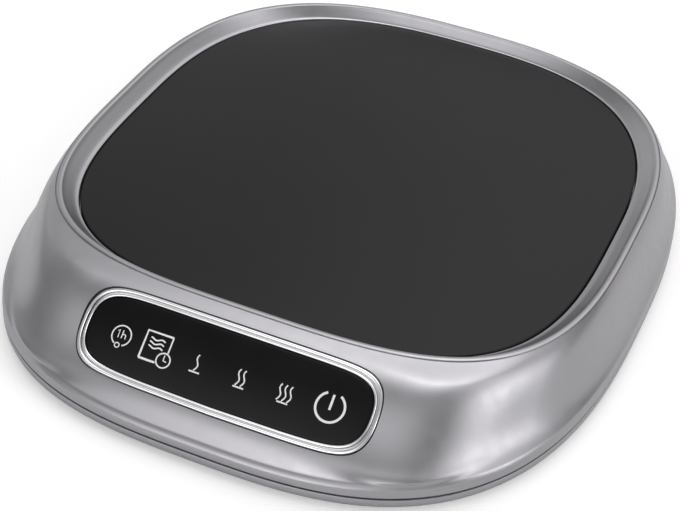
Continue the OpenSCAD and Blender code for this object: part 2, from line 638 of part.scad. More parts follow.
// Flat cable from the back of the touch board down to its socket
cable_width = 9;
cable_thickness = 0.4;
cable_y_low = board_middle + socket_y;
cable_top = on_slope_back(-5, seat_back - touch_board_thickness);
function on_slope_back(up, out) = [panel_y + up * cos(panel_tilt) - out * sin(panel_tilt),
    panel_rise + up * sin(panel_tilt) + out * cos(panel_tilt)];
module ribbon_cable() color("#d8d4c6") translate([socket_x - cable_width / 2, 0, 0]) rotate([90, 0, 90])
    linear_extrude(cable_width) polygon([
        [cable_top[0], cable_top[1]],
        [cable_top[0] + 0.3, cable_top[1] - 0.5],
        [cable_y_low - 0.2, board_top + 3.6],
        [cable_y_low - 0.2, board_top + 1.2],
        [cable_y_low + 0.2, board_top + 1.2],
        [cable_y_low + 0.2, board_top + 3.8],
        [cable_top[0] + 0.9, cable_top[1] + 0.3],
        [cable_top[0] + 0.5, cable_top[1] + 0.4]]);

// Cord gland in the back wall, and the clamp behind it
module cord_gland() color(black) along_cord(boss_face) difference() {
    union() {
        translate([0, 0, -boss_length]) cylinder(r = gland_neck - 0.1, h = boss_length);
        cylinder(r = gland_flange, h = flange_thickness);
        translate([0, 0, -boss_length - flange_thickness]) cylinder(r = gland_flange, h = flange_thickness);
    }
    translate([0, 0, -boss_length - flange_thickness - 1])
        cylinder(d = cord_bore, h = boss_length + 2 * flange_thickness + 2);
}
clamp_length = 22;
clamp_screw_x = 7.4;
clamp_seat = gland_height - cord_bore / 2 + 0.6;
clamp_top = gland_height + cord_bore / 2 + 1.4;
clamp_screw_drop = 3;
module cord_clamp() color("#d9d7d0") difference() {
    translate([-clamp_length / 2, clamp_y - clamp_width / 2, clamp_seat])
        cube([clamp_length, clamp_width, clamp_top - clamp_seat]);
    along_cord(clamp_y - clamp_width) cylinder(r = cord_bore / 2 - 0.2, h = 2 * clamp_width);
    for (side = [-1, 1]) translate([side * clamp_screw_x, clamp_y, clamp_seat - 1])
        cylinder(d = small_screw + 0.3, h = clamp_top);
}
clamp_screw_length = clamp_top - clamp_seat + clamp_screw_drop;
module clamp_screws() color(steel) for (side = [-1, 1]) translate([side * clamp_screw_x, clamp_y, clamp_top])
    mirror([0, 0, 1]) screw(small_screw, clamp_screw_length, small_head, small_head_height);
module base_screws() color(steel) for (place = base_screw_places)
    translate([place[0], place[1], base_bottom + 2]) screw(base_screw, 8, base_screw + 2.4, 1.8);

upper_housing();
base_housing();
glass_plate();
glass_gasket();
heat_spreader();
heater_foil();
insulation_pad();
heater_pan();
pan_screws();
temperature_sensor();
thermal_fuse();
fuse_clip();
panel_bezel();
panel_lens();
light_guide();
key_pads();
touch_board();
indicator_lights();
touch_board_screws();
main_board();
terminal_block();
film_capacitor();
smoothing_capacitors();
choke();
power_switch();
heat_sink();
input_fuse();
fuse_holder();
controller_chip();
cable_socket();
board_screws();
ribbon_cable();
heater_leads();
sensor_leads();
mains_leads();
cord_gland();
cord_clamp();
clamp_screws();
base_screws();
rubber_feet();
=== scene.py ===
"""Looks of a low desk mug warmer: satin silver shell, black glass plate, touch panel in a double chrome ring.

Metres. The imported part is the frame: its boxes give the places and sizes, and the outlines here repeat its
formulas with finer steps.
"""

import json
import math

import bmesh
import bpy
from mathutils import Matrix, Vector


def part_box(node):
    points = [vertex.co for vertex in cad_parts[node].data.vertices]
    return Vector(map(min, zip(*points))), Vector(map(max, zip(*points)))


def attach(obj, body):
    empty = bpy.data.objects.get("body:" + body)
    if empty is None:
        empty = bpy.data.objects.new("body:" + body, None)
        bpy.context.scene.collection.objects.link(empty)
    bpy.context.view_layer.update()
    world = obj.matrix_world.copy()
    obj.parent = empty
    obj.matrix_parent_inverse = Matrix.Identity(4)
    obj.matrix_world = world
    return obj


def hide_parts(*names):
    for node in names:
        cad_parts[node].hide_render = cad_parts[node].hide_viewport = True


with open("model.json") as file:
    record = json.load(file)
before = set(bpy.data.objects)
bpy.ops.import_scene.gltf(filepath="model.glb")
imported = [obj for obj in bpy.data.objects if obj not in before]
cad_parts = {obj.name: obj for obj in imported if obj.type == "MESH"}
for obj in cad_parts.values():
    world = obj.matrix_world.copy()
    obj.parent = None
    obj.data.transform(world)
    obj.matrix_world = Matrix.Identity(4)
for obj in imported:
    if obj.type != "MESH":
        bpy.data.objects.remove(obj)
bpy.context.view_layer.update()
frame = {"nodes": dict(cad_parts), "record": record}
MM = 0.001

# ---------------------------------------------------------------- sizes, from the frame where it has them

base_low, base_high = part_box("base_housing")
shell_low, shell_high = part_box("upper_housing")
glass_low, glass_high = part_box("glass_plate")
foot_low, foot_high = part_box("rubber_feet")
gland_low, gland_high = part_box("cord_gland")

BODY_TOP = shell_high.z
GLASS_TOP = glass_high.z
GLASS_BOTTOM = glass_low.z
SHELL_BOTTOM = shell_low.z
BASE_BOTTOM = base_low.z
JOINT_LINE = 0.4 * MM  # dark gap between shell and base band
BAND_TOP = SHELL_BOTTOM - JOINT_LINE
BASE_FLOOR = 2 * MM
FLOOR_TOP = BASE_BOTTOM + BASE_FLOOR
WALL = 1.6 * MM

RIM_BAND = 5.4 * MM  # rim's width at the sides, crest and bank together
RIM_TOP = 1.2 * MM  # rounded crest alone
RIM_END_SHARE = 0.6  # the rim is narrower at the front and back
GLASS_GAP = 0.35 * MM
GASKET = 0.7 * MM
LEDGE_WIDTH = 5.3 * MM
LEDGE_THICKNESS = 2 * MM
LEDGE_TOP = GLASS_BOTTOM - GASKET
LEDGE_BOTTOM = LEDGE_TOP - LEDGE_THICKNESS

CREASE_HEIGHT = 7.2 * MM  # where the upright foot of the shell turns into the slope
CREASE_SHARE = 0.055
FRONT_EASE = 0.65
BACK_EASE = 0.1
FLAT_STRENGTH = 0.8  # the slope is flattened behind the touch panel
FLAT_REACH = 38 * MM
FLAT_FADE = 26 * MM

BASE_FULLNESS = (2.9, 2.55)  # front, back: 2 is an ellipse and more is squarer
GLASS_FULLNESS = (3.4, 2.7)

AROUND = 320
SLOPE_RINGS = 40


def mix(low, high, share):
    return low + (high - low) * share


def ease(value, low, high):
    share = min(1, max(0, (value - low) / (high - low)))
    return share * share * (3 - 2 * share)


class Outline:
    """A rounded square: half width, half depth, how far back it sits, fullness of its front and back."""

    def __init__(self, width, depth, shift, front, back):
        self.width, self.depth, self.shift, self.front, self.back = width, depth, shift, front, back

    def inset(self, across, along=None):
        """Drawn in by one width all round, or by less at its front and back than at its sides."""
        along = across if along is None else along
        return Outline(self.width - across, self.depth - along, self.shift, self.front, self.back)

    def towards(self, other, share):
        pairs = zip(self.sizes(), other.sizes())
        return Outline(*[mix(a, b, share) for a, b in pairs])

    def sizes(self):
        return self.width, self.depth, self.shift, self.front, self.back

    def point(self, angle, flatness=0.0):
        """The front stretch behind the touch panel can be flattened."""
        c, s = math.cos(angle), math.sin(angle)
        power = self.front if s < 0 else self.back
        across = self.width * math.copysign(abs(c) ** (2 / power), c)
        retreat = self.depth * (1 - abs(s) ** (2 / power))
        if s >= 0:
            return across, self.shift + self.depth - retreat
        kept = 1 - flatness * (1 - ease(abs(across), FLAT_REACH, FLAT_REACH + FLAT_FADE))
        return across, self.shift + retreat * kept - self.depth


base_outline = Outline(base_high.x, base_high.y, 0, *BASE_FULLNESS)
glass_outline = Outline(glass_high.x, (glass_high.y - glass_low.y) / 2, (glass_high.y + glass_low.y) / 2,
                        *GLASS_FULLNESS)
recess_outline = glass_outline.inset(-GLASS_GAP)
rim_outline = recess_outline.inset(-RIM_BAND, -RIM_BAND * RIM_END_SHARE)


def slope_height(share, turn):
    """The front slope eases out more at its top and foot than the back slope."""
    climb = (share - CREASE_SHARE) / (1 - CREASE_SHARE)
    strength = mix(BACK_EASE, FRONT_EASE, (1 - math.sin(2 * math.pi * turn)) / 2)
    return mix(CREASE_HEIGHT, BODY_TOP, climb - strength * math.sin(2 * math.pi * climb) / (2 * math.pi))


def slope_flatness(share):
    return FLAT_STRENGTH * ease(share, 0, 0.25) * (1 - ease(share, 0.86, 1))


# ---------------------------------------------------------------- modelling helpers


def deselect():
    if bpy.context.object and bpy.context.object.mode != "OBJECT":
        bpy.ops.object.mode_set(mode="OBJECT")
    bpy.ops.object.select_all(action="DESELECT")


def pick(piece):
    deselect()
    piece.select_set(True)
    bpy.context.view_layer.objects.active = piece


def edit_mesh(piece):
    pick(piece)
    bpy.ops.object.mode_set(mode="EDIT")
    return bmesh.from_edit_mesh(piece.data)


def ring_of(outline, height):
    """A level ring: a function from the share of the way round to a point."""
    return lambda turn: Vector((*outline.point(2 * math.pi * turn), height))


def loft(name, rings, around=AROUND, closed=False):
    """Extrudes a circle from ring to ring. A closed loft joins its last ring to its first, others get caps."""
    deselect()
    bpy.ops.mesh.primitive_circle_add(vertices=around, radius=1)
    piece = bpy.context.object
    piece.name = piece.data.name = name
    bm = edit_mesh(piece)
    layer = bm.verts.layers.int.new("turn")
    bm.verts.ensure_lookup_table()
    for i, vert in enumerate(bm.verts):
        vert[layer] = i
    bmesh.update_edit_mesh(piece.data)
    for i, ring in enumerate(rings + rings[:1] if closed else rings):
        if i:
            bpy.ops.mesh.extrude_edges_move()
        bm = bmesh.from_edit_mesh(piece.data)
        layer = bm.verts.layers.int["turn"]
        for vert in bm.verts:
            if vert.select:
                vert.co = ring(vert[layer] / around)
        bmesh.update_edit_mesh(piece.data)
    if closed:
        bpy.ops.mesh.select_all(action="SELECT")
        bpy.ops.mesh.remove_doubles(threshold=1e-7)
    else:
        bpy.ops.mesh.select_mode(type="EDGE")
        bpy.ops.mesh.select_all(action="SELECT")
        bpy.ops.mesh.region_to_loop()
        bpy.ops.mesh.edge_face_add()
    bpy.ops.mesh.select_mode(type="VERT")
    bpy.ops.mesh.select_all(action="SELECT")
    bpy.ops.mesh.normals_make_consistent(inside=False)
    bpy.ops.object.mode_set(mode="OBJECT")
    piece.data.attributes.remove(piece.data.attributes["turn"])
    return piece


def profile_ring(centre, radius, height):
    return lambda turn: centre + Vector(
        (radius * math.cos(2 * math.pi * turn), radius * math.sin(2 * math.pi * turn), height))


def turned(name, centre, profile, around=64):
    """A round piece, lofted up its profile of (radius, height)."""
    return loft(name, [profile_ring(Vector(centre), radius, height) for radius, height in profile], around)


def place(piece, matrix):
    """Puts the piece's place into its mesh."""
    piece.data.transform(matrix)
    piece.data.update()
    return piece


def use_modifier(piece, kind, **settings):
    pick(piece)
    modifier = piece.modifiers.new(kind.title(), kind)
    for key, value in settings.items():
        setattr(modifier, key, value)
    bpy.ops.object.modifier_apply(modifier=modifier.name)
    return piece


def cut(piece, cutter):
    use_modifier(piece, "BOOLEAN", object=cutter, operation="DIFFERENCE", solver="EXACT")
    bpy.data.objects.remove(cutter, do_unlink=True)
    return piece


def join_on(piece, other):
    use_modifier(piece, "BOOLEAN", object=other, operation="UNION", solver="EXACT")
    bpy.data.objects.remove(other, do_unlink=True)
    return piece


def smooth(piece, degrees=35):
    pick(piece)
    bpy.ops.object.shade_smooth_by_angle(angle=math.radians(degrees))
    return piece


def join(name, pieces):
    deselect()
    for piece in pieces:
        piece.select_set(True)
    bpy.context.view_layer.objects.active = pieces[0]
    if len(pieces) > 1:
        bpy.ops.object.join()
    pieces[0].name = pieces[0].data.name = name
    return pieces[0]


def finish_piece(piece, material, slot, *nodes):
    piece.data.materials.clear()
    piece.data.materials.append(material)
    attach(piece, "root")
    if nodes:
        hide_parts(*nodes)
    return piece


# ---------------------------------------------------------------- materials


class Nodes:
    """Short names for building one material's nodes."""

    def __init__(self, name):
        self.material = bpy.data.materials.new(name)
        self.material.use_nodes = True
        self.tree = self.material.node_tree
        self.shader = self.tree.nodes["Principled BSDF"]
        self.place = self.add("ShaderNodeTexCoord").outputs["Object"]

    def add(self, kind, **settings):
        node = self.tree.nodes.new(kind)
        for key, value in settings.items():
            setattr(node, key, value)
        return node

    def link(self, out, into):
        self.tree.links.new(out, into)

    def set(self, **values):
        for key, value in values.items():
            self.shader.inputs[key.replace("_", " ")].default_value = value

    def stretched(self, scale):
        mapping = self.add("ShaderNodeMapping")
        mapping.inputs["Scale"].default_value = scale
        self.link(self.place, mapping.inputs["Vector"])
        return mapping.outputs["Vector"]

    def noise(self, size, detail=3, rough=0.5, vector=None):
        """Noise whose blobs are about size metres across."""
        node = self.add("ShaderNodeTexNoise")
        node.inputs["Scale"].default_value = 1 / size
        node.inputs["Detail"].default_value = detail
        node.inputs["Roughness"].default_value = rough
        self.link(vector or self.place, node.inputs["Vector"])
        return node.outputs["Fac"]

    def cells(self, size, output="Distance"):
        node = self.add("ShaderNodeTexVoronoi")
        node.inputs["Scale"].default_value = 1 / size
        self.link(self.place, node.inputs["Vector"])
        return node.outputs[output]

    def scaled(self, value, low, high, at_low=0.0, at_high=1.0):
        node = self.add("ShaderNodeMapRange")
        for key, number in zip(("From Min", "From Max", "To Min", "To Max"), (low, high, at_low, at_high)):
            node.inputs[key].default_value = number
        self.link(value, node.inputs["Value"])
        return node.outputs["Result"]

    def colours(self, value, *stops):
        node = self.add("ShaderNodeValToRGB")
        ramp = node.color_ramp
        while len(ramp.elements) < len(stops):
            ramp.elements.new(0.5)
        for element, (at, colour) in zip(ramp.elements, stops):
            element.position = at
            element.color = (*colour, 1)
        self.link(value, node.inputs["Fac"])
        return node.outputs["Color"]

    def blend(self, share, first, second):
        node = self.add("ShaderNodeMix", data_type="RGBA")
        self.link(share, node.inputs["Factor"])
        for value, socket in ((first, node.inputs[6]), (second, node.inputs[7])):
            if isinstance(value, tuple):
                socket.default_value = (*value, 1)
            else:
                self.link(value, socket)
        return node.outputs[2]

    def colour(self, out):
        self.link(out, self.shader.inputs["Base Color"])

    def roughness(self, value, low, high):
        self.link(self.scaled(value, 0.3, 0.7, low, high), self.shader.inputs["Roughness"])

    def bump(self, height, depth, strength=1.0):
        node = self.add("ShaderNodeBump")
        node.inputs["Distance"].default_value = depth
        node.inputs["Strength"].default_value = strength
        if self.shader.inputs["Normal"].links:
            self.link(self.shader.inputs["Normal"].links[0].from_socket, node.inputs["Normal"])
        self.link(height, node.inputs["Height"])
        self.link(node.outputs["Normal"], self.shader.inputs["Normal"])


def shade(colour, factor):
    return tuple(min(1, channel * factor) for channel in colour)


def silver_paint():
    """Satin metallic lacquer: fine metal flake under a thin clear coat."""
    n = Nodes("satin_silver_paint")
    flake = n.cells(0.12 * MM, output="Color")
    drift = n.noise(28 * MM, 2)
    tone = n.blend(flake, (0.405, 0.398, 0.418), (0.435, 0.428, 0.448))
    n.colour(n.blend(n.scaled(drift, 0.35, 0.65, 0, 0.25), tone, (0.395, 0.388, 0.408)))
    n.roughness(n.noise(3 * MM, 4), 0.30, 0.36)
    n.bump(n.noise(0.25 * MM, 2), 0.004 * MM, 0.25)
    n.set(Metallic=0.92, Coat_Weight=0.18, Coat_Roughness=0.22)
    return n.material


def black_glass():
    """Tempered glass, black underneath and etched to a soft satin on top."""
    n = Nodes("satin_black_glass")
    speck = n.noise(0.35 * MM, 3)
    n.colour(n.colours(n.noise(40 * MM, 3), (0.3, (0.0088, 0.0076, 0.0088)), (0.7, (0.0104, 0.0092, 0.0104))))
    n.roughness(speck, 0.36, 0.44)
    n.bump(speck, 0.002 * MM, 0.2)
    n.set(IOR=1.45, Specular_IOR_Level=0.3)
    return n.material


def chrome():
    n = Nodes("bright_chrome")
    haze = n.noise(6 * MM, 3)
    n.colour(n.colours(haze, (0.3, (0.84, 0.84, 0.86)), (0.7, (0.89, 0.89, 0.9))))
    n.roughness(haze, 0.05, 0.10)
    n.bump(n.noise(1.2 * MM, 2), 0.001 * MM, 0.15)
    n.set(Metallic=1.0)
    return n.material


def lens_black():
    n = Nodes("gloss_black_lens")
    haze = n.noise(9 * MM, 3)
    n.colour(n.colours(haze, (0.3, (0.0035, 0.0035, 0.004)), (0.7, (0.0055, 0.0055, 0.006))))
    n.roughness(haze, 0.08, 0.14)
    n.bump(n.noise(5 * MM, 2), 0.002 * MM, 0.15)
    n.set(IOR=1.45, Specular_IOR_Level=0.25)
    return n.material


def sign_white():
    """White screen ink."""
    n = Nodes("sign_white_ink")
    grain = n.noise(0.2 * MM, 2)
    n.colour(n.colours(grain, (0.3, (0.8, 0.8, 0.8)), (0.7, (0.88, 0.88, 0.88))))
    n.roughness(grain, 0.4, 0.5)
    n.bump(grain, 0.003 * MM, 0.2)
    return n.material


def moulded(name, colour, rough=0.45, grain=0.5 * MM, depth=0.01 * MM):
    """Moulded plastic or rubber with a fine spark-eroded grain."""
    n = Nodes(name)
    fine = n.noise(grain, 3)
    n.colour(n.colours(n.noise(8 * MM, 3), (0.3, shade(colour, 0.9)), (0.7, shade(colour, 1.06))))
    n.roughness(fine, rough - 0.05, rough + 0.07)
    n.bump(fine, depth, 0.4)
    return n.material


def brushed(name, colour, rough=0.32, along=(1, 12, 1)):
    """Rolled or plated metal with fine lines one way."""
    n = Nodes(name)
    lines = n.noise(1.4 * MM, 4, 0.6, n.stretched(along))
    spots = n.noise(3 * MM, 3)
    n.colour(n.blend(n.scaled(spots, 0.35, 0.65), shade(colour, 0.92), shade(colour, 1.05)))
    n.roughness(lines, rough - 0.06, rough + 0.1)
    n.bump(lines, 0.006 * MM, 0.3)
    n.set(Metallic=1.0)
    return n.material


def felt():
    n = Nodes("ceramic_felt")
    fibre = n.noise(0.5 * MM, 6, 0.7, n.stretched((1, 3, 8)))
    n.colour(n.colours(fibre, (0.3, (0.62, 0.59, 0.52)), (0.7, (0.86, 0.83, 0.77))))
    n.bump(fibre, 0.15 * MM, 0.6)
    n.set(Roughness=0.95, Sheen_Weight=0.3)
    return n.material


def mica():
    n = Nodes("mica_sheet")
    flakes = n.cells(2.5 * MM, output="Color")
    n.colour(n.blend(flakes, (0.36, 0.26, 0.14), (0.54, 0.42, 0.25)))
    n.roughness(n.noise(1.5 * MM, 3), 0.25, 0.45)
    n.bump(n.cells(2.5 * MM), 0.02 * MM, 0.3)
    return n.material


def board_green():
    """Green solder resist over copper tracks."""
    n = Nodes("board_green")
    bricks = n.add("ShaderNodeTexBrick", offset=0.37, squash=1.7)
    bricks.inputs["Scale"].default_value = 120
    bricks.inputs["Mortar Size"].default_value = 0.02
    n.link(n.place, bricks.inputs["Vector"])
    track = bricks.outputs["Fac"]
    n.colour(n.blend(track, (0.02, 0.115, 0.045), (0.04, 0.19, 0.075)))
    n.roughness(n.noise(1 * MM, 3), 0.28, 0.4)
    n.bump(track, 0.03 * MM, 0.3)
    return n.material


def fuse_glass():
    n = Nodes("fuse_glass")
    n.colour(n.colours(n.noise(3 * MM, 2), (0.3, (0.8, 0.84, 0.82)), (0.7, (0.9, 0.92, 0.9))))
    n.bump(n.noise(2 * MM, 2), 0.004 * MM, 0.2)
    n.set(Roughness=0.04, Transmission_Weight=0.85, IOR=1.5)
    return n.material


def lamp_resin():
    n = Nodes("lamp_resin")
    n.colour(n.colours(n.noise(0.6 * MM, 2), (0.3, (0.86, 0.8, 0.5)), (0.7, (0.93, 0.89, 0.68))))
    n.bump(n.noise(0.4 * MM, 2), 0.004 * MM, 0.2)
    n.set(Roughness=0.15, Transmission_Weight=0.3)
    return n.material


finishes = {
    "silver_paint": silver_paint(),
    "black_glass": black_glass(),
    "silicone": moulded("silicone_strip", (0.03, 0.03, 0.031), 0.6),
    "plate_aluminium": brushed("rolled_aluminium", (0.74, 0.75, 0.76)),
    "mica": mica(),
    "felt": felt(),
    "sheet_steel": brushed("plated_sheet_steel", (0.6, 0.61, 0.62), 0.3, (9, 1, 1)),
    "screw_steel": brushed("screw_steel", (0.5, 0.5, 0.52), 0.28, (1, 1, 6)),
    "ceramic_white": moulded("glazed_ceramic", (0.8, 0.78, 0.7), 0.2, 1 * MM, 0.006 * MM),
    "chrome": chrome(),
    "lens_black": lens_black(),
    "white_plastic": moulded("white_plastic", (0.78, 0.78, 0.76)),
    "foam": moulded("conductive_foam", (0.09, 0.09, 0.095), 0.9, 0.4 * MM, 0.12 * MM),
    "board_green": board_green(),
    "lamp_yellow": lamp_resin(),
    "block_green": moulded("block_green", (0.05, 0.25, 0.12), 0.4),
    "capacitor_yellow": moulded("capacitor_yellow", (0.55, 0.42, 0.04), 0.25, 1 * MM, 0.006 * MM),
    "capacitor_blue": moulded("capacitor_sleeve", (0.03, 0.06, 0.22), 0.25, 2 * MM, 0.01 * MM),
    "ferrite": moulded("ferrite", (0.05, 0.05, 0.052), 0.55, 0.3 * MM, 0.02 * MM),
    "chip_black": moulded("chip_resin", (0.02, 0.02, 0.021), 0.5, 0.2 * MM, 0.006 * MM),
    "fuse_glass": fuse_glass(),
    "socket_ivory": moulded("socket_ivory", (0.78, 0.75, 0.64), 0.4),
    "lead_brown": moulded("lead_brown", (0.16, 0.07, 0.03), 0.4, 1 * MM, 0.01 * MM),
    "lead_white": moulded("glass_sleeve", (0.74, 0.71, 0.64), 0.7, 0.25 * MM, 0.04 * MM),
    "lead_red": moulded("lead_red", (0.42, 0.03, 0.02), 0.4, 1 * MM, 0.01 * MM),
    "gland_black": moulded("gland_black", (0.018, 0.018, 0.019), 0.5),
    "foot_rubber": moulded("foot_rubber", (0.022, 0.022, 0.022), 0.75, 0.4 * MM, 0.02 * MM),
}
for part in frame["record"]["subparts"]:
    node = frame["nodes"][part["node"]]
    node.data.materials.clear()
    node.data.materials.append(finishes[part["material_slot"]])


# ---------------------------------------------------------------- touch panel's own frame

PANEL_TILT = math.radians(38)
PANEL_LENGTH = 72.2 * MM
PANEL_HEIGHT = 20 * MM
PANEL_BOW = 1 * MM
PANEL_FRAME = Matrix.Translation((0, -76.4 * MM, 15.6 * MM)) @ Matrix.Rotation(PANEL_TILT, 4, "X")
POCKET_FLOOR = -2.4 * MM
LENS_TOP = -0.2 * MM
PANEL_END_FULLNESS = 10.7
PANEL_SIDE_FULLNESS = 2.53


def panel_ring(inset, height):
    """A ring round the panel, in its own frame: a long rounded shape with a slightly bowed lower edge."""
    half_length, half_height = PANEL_LENGTH / 2 - inset, PANEL_HEIGHT / 2 - inset

    def point(turn):
        c, s = math.cos(2 * math.pi * turn), math.sin(2 * math.pi * turn)
        across = half_length * math.copysign(abs(c) ** (2 / PANEL_END_FULLNESS), c)
        up = half_height * math.copysign(abs(s) ** (2 / PANEL_SIDE_FULLNESS), s)
        if up < 0:
            up += PANEL_BOW * (1 - (across / half_length) ** 2) * up / half_height
        return Vector((across, up, height))

    return point


def panel_loft(name, profile, closed=False, around=288):
    rings = [panel_ring(inset * MM, height * MM) for inset, height in profile]
    return place(loft(name, rings, around, closed), PANEL_FRAME)


# ---------------------------------------------------------------- shell


def shell_rings():
    """From the lower lip up the slope, over the rim, under the ledge and back down inside."""
    def base_ring(inset, height):
        return ring_of(base_outline.inset(inset * MM), height)

    def bank_ring(share, rise):
        """On the bank that falls from the rim's crest to the glass."""
        return ring_of(rim_outline.inset(RIM_TOP).towards(recess_outline, share), GLASS_TOP + rise)

    def recess_ring(inset, height):
        return ring_of(recess_outline.inset(inset), height)

    def slope_ring(share, inset=0.0, drop=0.0):
        outline = base_outline.towards(rim_outline, share).inset(inset)

        def point(turn):
            across, along = outline.point(2 * math.pi * turn, slope_flatness(share))
            return Vector((across, along, slope_height(share, turn) - drop))

        return point

    crease = [base_ring(0.3, SHELL_BOTTOM), base_ring(0.1, SHELL_BOTTOM + 0.06 * MM),
              base_ring(0, SHELL_BOTTOM + 0.25 * MM), base_ring(0.1, CREASE_HEIGHT - 1.9 * MM),
              base_ring(0.2, CREASE_HEIGHT - 1.3 * MM)]
    crease += [slope_ring(CREASE_SHARE * share, 0, drop * MM)
               for share, drop in ((0.2, 0.75), (0.38, 0.42), (0.62, 0.2), (0.85, 0.06))]
    slope = [slope_ring(mix(CREASE_SHARE, 0.985, i / SLOPE_RINGS)) for i in range(SLOPE_RINGS + 1)]
    top = [slope_ring(1, 0, 0.35 * MM)]
    top += [ring_of(rim_outline.inset(inset * MM), BODY_TOP - drop * MM)
            for inset, drop in ((0.1, 0.12), (0.3, 0), (0.7, 0), (RIM_TOP / MM - 0.1, 0.03))]
    bank = BODY_TOP - GLASS_TOP
    top += [bank_ring(share, bank - drop * MM) for share, drop in ((0.02, 0.12), (0.06, 0.28))]
    top += [bank_ring(mix(0.1, 0.7, i / 4), mix(bank - 0.48 * MM, 0.42 * MM, i / 4)) for i in range(5)]
    top += [bank_ring(share, rise * MM) for share, rise in
            ((0.75, 0.29), (0.8, 0.18), (0.85, 0.09), (0.9, 0.03), (0.94, 0), (0.97, -0.03), (0.99, -0.12))]
    top += [bank_ring(1, -0.35 * MM), recess_ring(0, LEDGE_TOP),
            recess_ring(LEDGE_WIDTH, LEDGE_TOP), recess_ring(LEDGE_WIDTH, LEDGE_BOTTOM),
            recess_ring(-WALL, LEDGE_BOTTOM), recess_ring(-WALL, GLASS_TOP - 2 * MM)]
    inside = [slope_ring(mix(0.9, CREASE_SHARE, i / 12), WALL, WALL) for i in range(13)]
    return crease + slope + top + inside + [base_ring(WALL / MM, SHELL_BOTTOM)]


def cord_block(inner_y, gland_z, half_width):
    """Solid block round the cord seat, whose top lies in the middle of the shell's wall."""
    seat_bottom = BAND_TOP + 1.2 * MM
    back = math.pi / 2
    profile = [(inner_y, gland_z), (inner_y, seat_bottom), (base_high.y - WALL / 2, seat_bottom)]
    for i in range(5):
        share = mix(CREASE_SHARE, 0.3, i / 4)
        _, along = base_outline.towards(rim_outline, share).inset(WALL / 2).point(back)
        profile.append((along, slope_height(share, 0.25) - WALL / 2))
    count = len(profile)
    rings = [lambda turn, x=x: Vector((x, *profile[round(turn * count) % count]))
             for x in (-half_width, half_width)]
    return loft("cord_block", rings, count)


def pin(place, low, high, radius, around=40):
    """An upright round post or hole."""
    return turned("pin", (*place, 0), [(radius, low), (radius, high)], around)


def ledge_places(*degrees):
    line = recess_outline.inset(LEDGE_WIDTH / 2)
    return [line.point(math.radians(angle)) for angle in degrees]


BASE_SCREWS = ledge_places(-45, 30, 150, 225)
PAN_SCREWS = ledge_places(-12, 60, 120, 192)
BASE_SCREW_PILOT = 1.5 * MM
PAN_SCREW_PILOT = 1.3 * MM
SHELL_POST = 3.5 * MM
FELT_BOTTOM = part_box("insulation_pad")[0].z
POST_BOTTOM = FLOOR_TOP + 2.5 * MM


def build_shell():
    shell = loft("silver_shell", shell_rings(), closed=True)
    join_on(shell, panel_loft("panel_seat", [(-1.5, -4.4), (-1.5, -0.9)]))
    starts = [(at, POST_BOTTOM) for at in BASE_SCREWS] + [(at, FELT_BOTTOM) for at in PAN_SCREWS]
    join_on(shell, join("posts", [pin(at, low, LEDGE_BOTTOM + 1 * MM, SHELL_POST) for at, low in starts]))
    holes = [pin(at, POST_BOTTOM - 1 * MM, POST_BOTTOM + 7 * MM, BASE_SCREW_PILOT) for at in BASE_SCREWS]
    holes += [pin(at, FELT_BOTTOM - 1 * MM, FELT_BOTTOM + 4 * MM, PAN_SCREW_PILOT) for at in PAN_SCREWS]
    cut(shell, join("pilot_holes", holes))
    cut(shell, panel_loft("panel_pocket", [(-0.25, POCKET_FLOOR / MM), (-0.25, 8)]))
    cut(shell, panel_loft("panel_window", [(4.6, -8.4), (4.6, 1)]))
    along = Matrix.Rotation(math.radians(-90), 4, "X")
    gland_z = (gland_low.z + gland_high.z) / 2
    neck, flange = (gland_high.z - gland_low.z) / 2 - 0.7 * MM, (gland_high.z - gland_low.z) / 2
    seat_y, inner_y = gland_high.y - 1 * MM, gland_low.y + 1 * MM

    def along_cord(name, radius, start, end, edge=0.0):
        profile = [(radius, 0), (radius, end - start - edge), (radius - edge, end - start)] if edge \
            else [(radius, 0), (radius, end - start)]
        round_piece = turned(name, (0, 0, 0), profile)
        return place(round_piece, Matrix.Translation((0, start, gland_z)) @ along)

    join_on(shell, cord_block(inner_y, gland_z, flange + 1.3 * MM))
    join_on(shell, along_cord("cord_boss", flange + 0.7 * MM, inner_y, seat_y, 0.4 * MM))
    cut(shell, along_cord("cord_seat", flange + 0.3 * MM, seat_y, seat_y + 10 * MM))
    cut(shell, along_cord("cord_bore", neck, inner_y - 5 * MM, seat_y + 1 * MM))
    return shell


shell = smooth(build_shell())
finish_piece(shell, finishes["silver_paint"], "silver_paint", "upper_housing")


# ---------------------------------------------------------------- glass plate


def build_glass():
    """Ground and polished edge, with a soft arris at the top."""
    thickness = GLASS_TOP - GLASS_BOTTOM
    profile = [(0.35, 0), (0, 0.3 * MM), (0, thickness - 0.45 * MM), (0.08, thickness - 0.2 * MM),
               (0.22, thickness - 0.06 * MM), (0.45, thickness)]
    return loft("glass_top", [ring_of(glass_outline.inset(inset * MM), GLASS_BOTTOM + height)
                              for inset, height in profile])


glass = smooth(build_glass(), 50)
finish_piece(glass, finishes["black_glass"], "black_glass", "glass_plate")


# ---------------------------------------------------------------- base pan


def duplicate(piece, at):
    twin = piece.copy()
    twin.data = piece.data.copy()
    bpy.context.collection.objects.link(twin)
    return place(twin, Matrix.Translation(at))


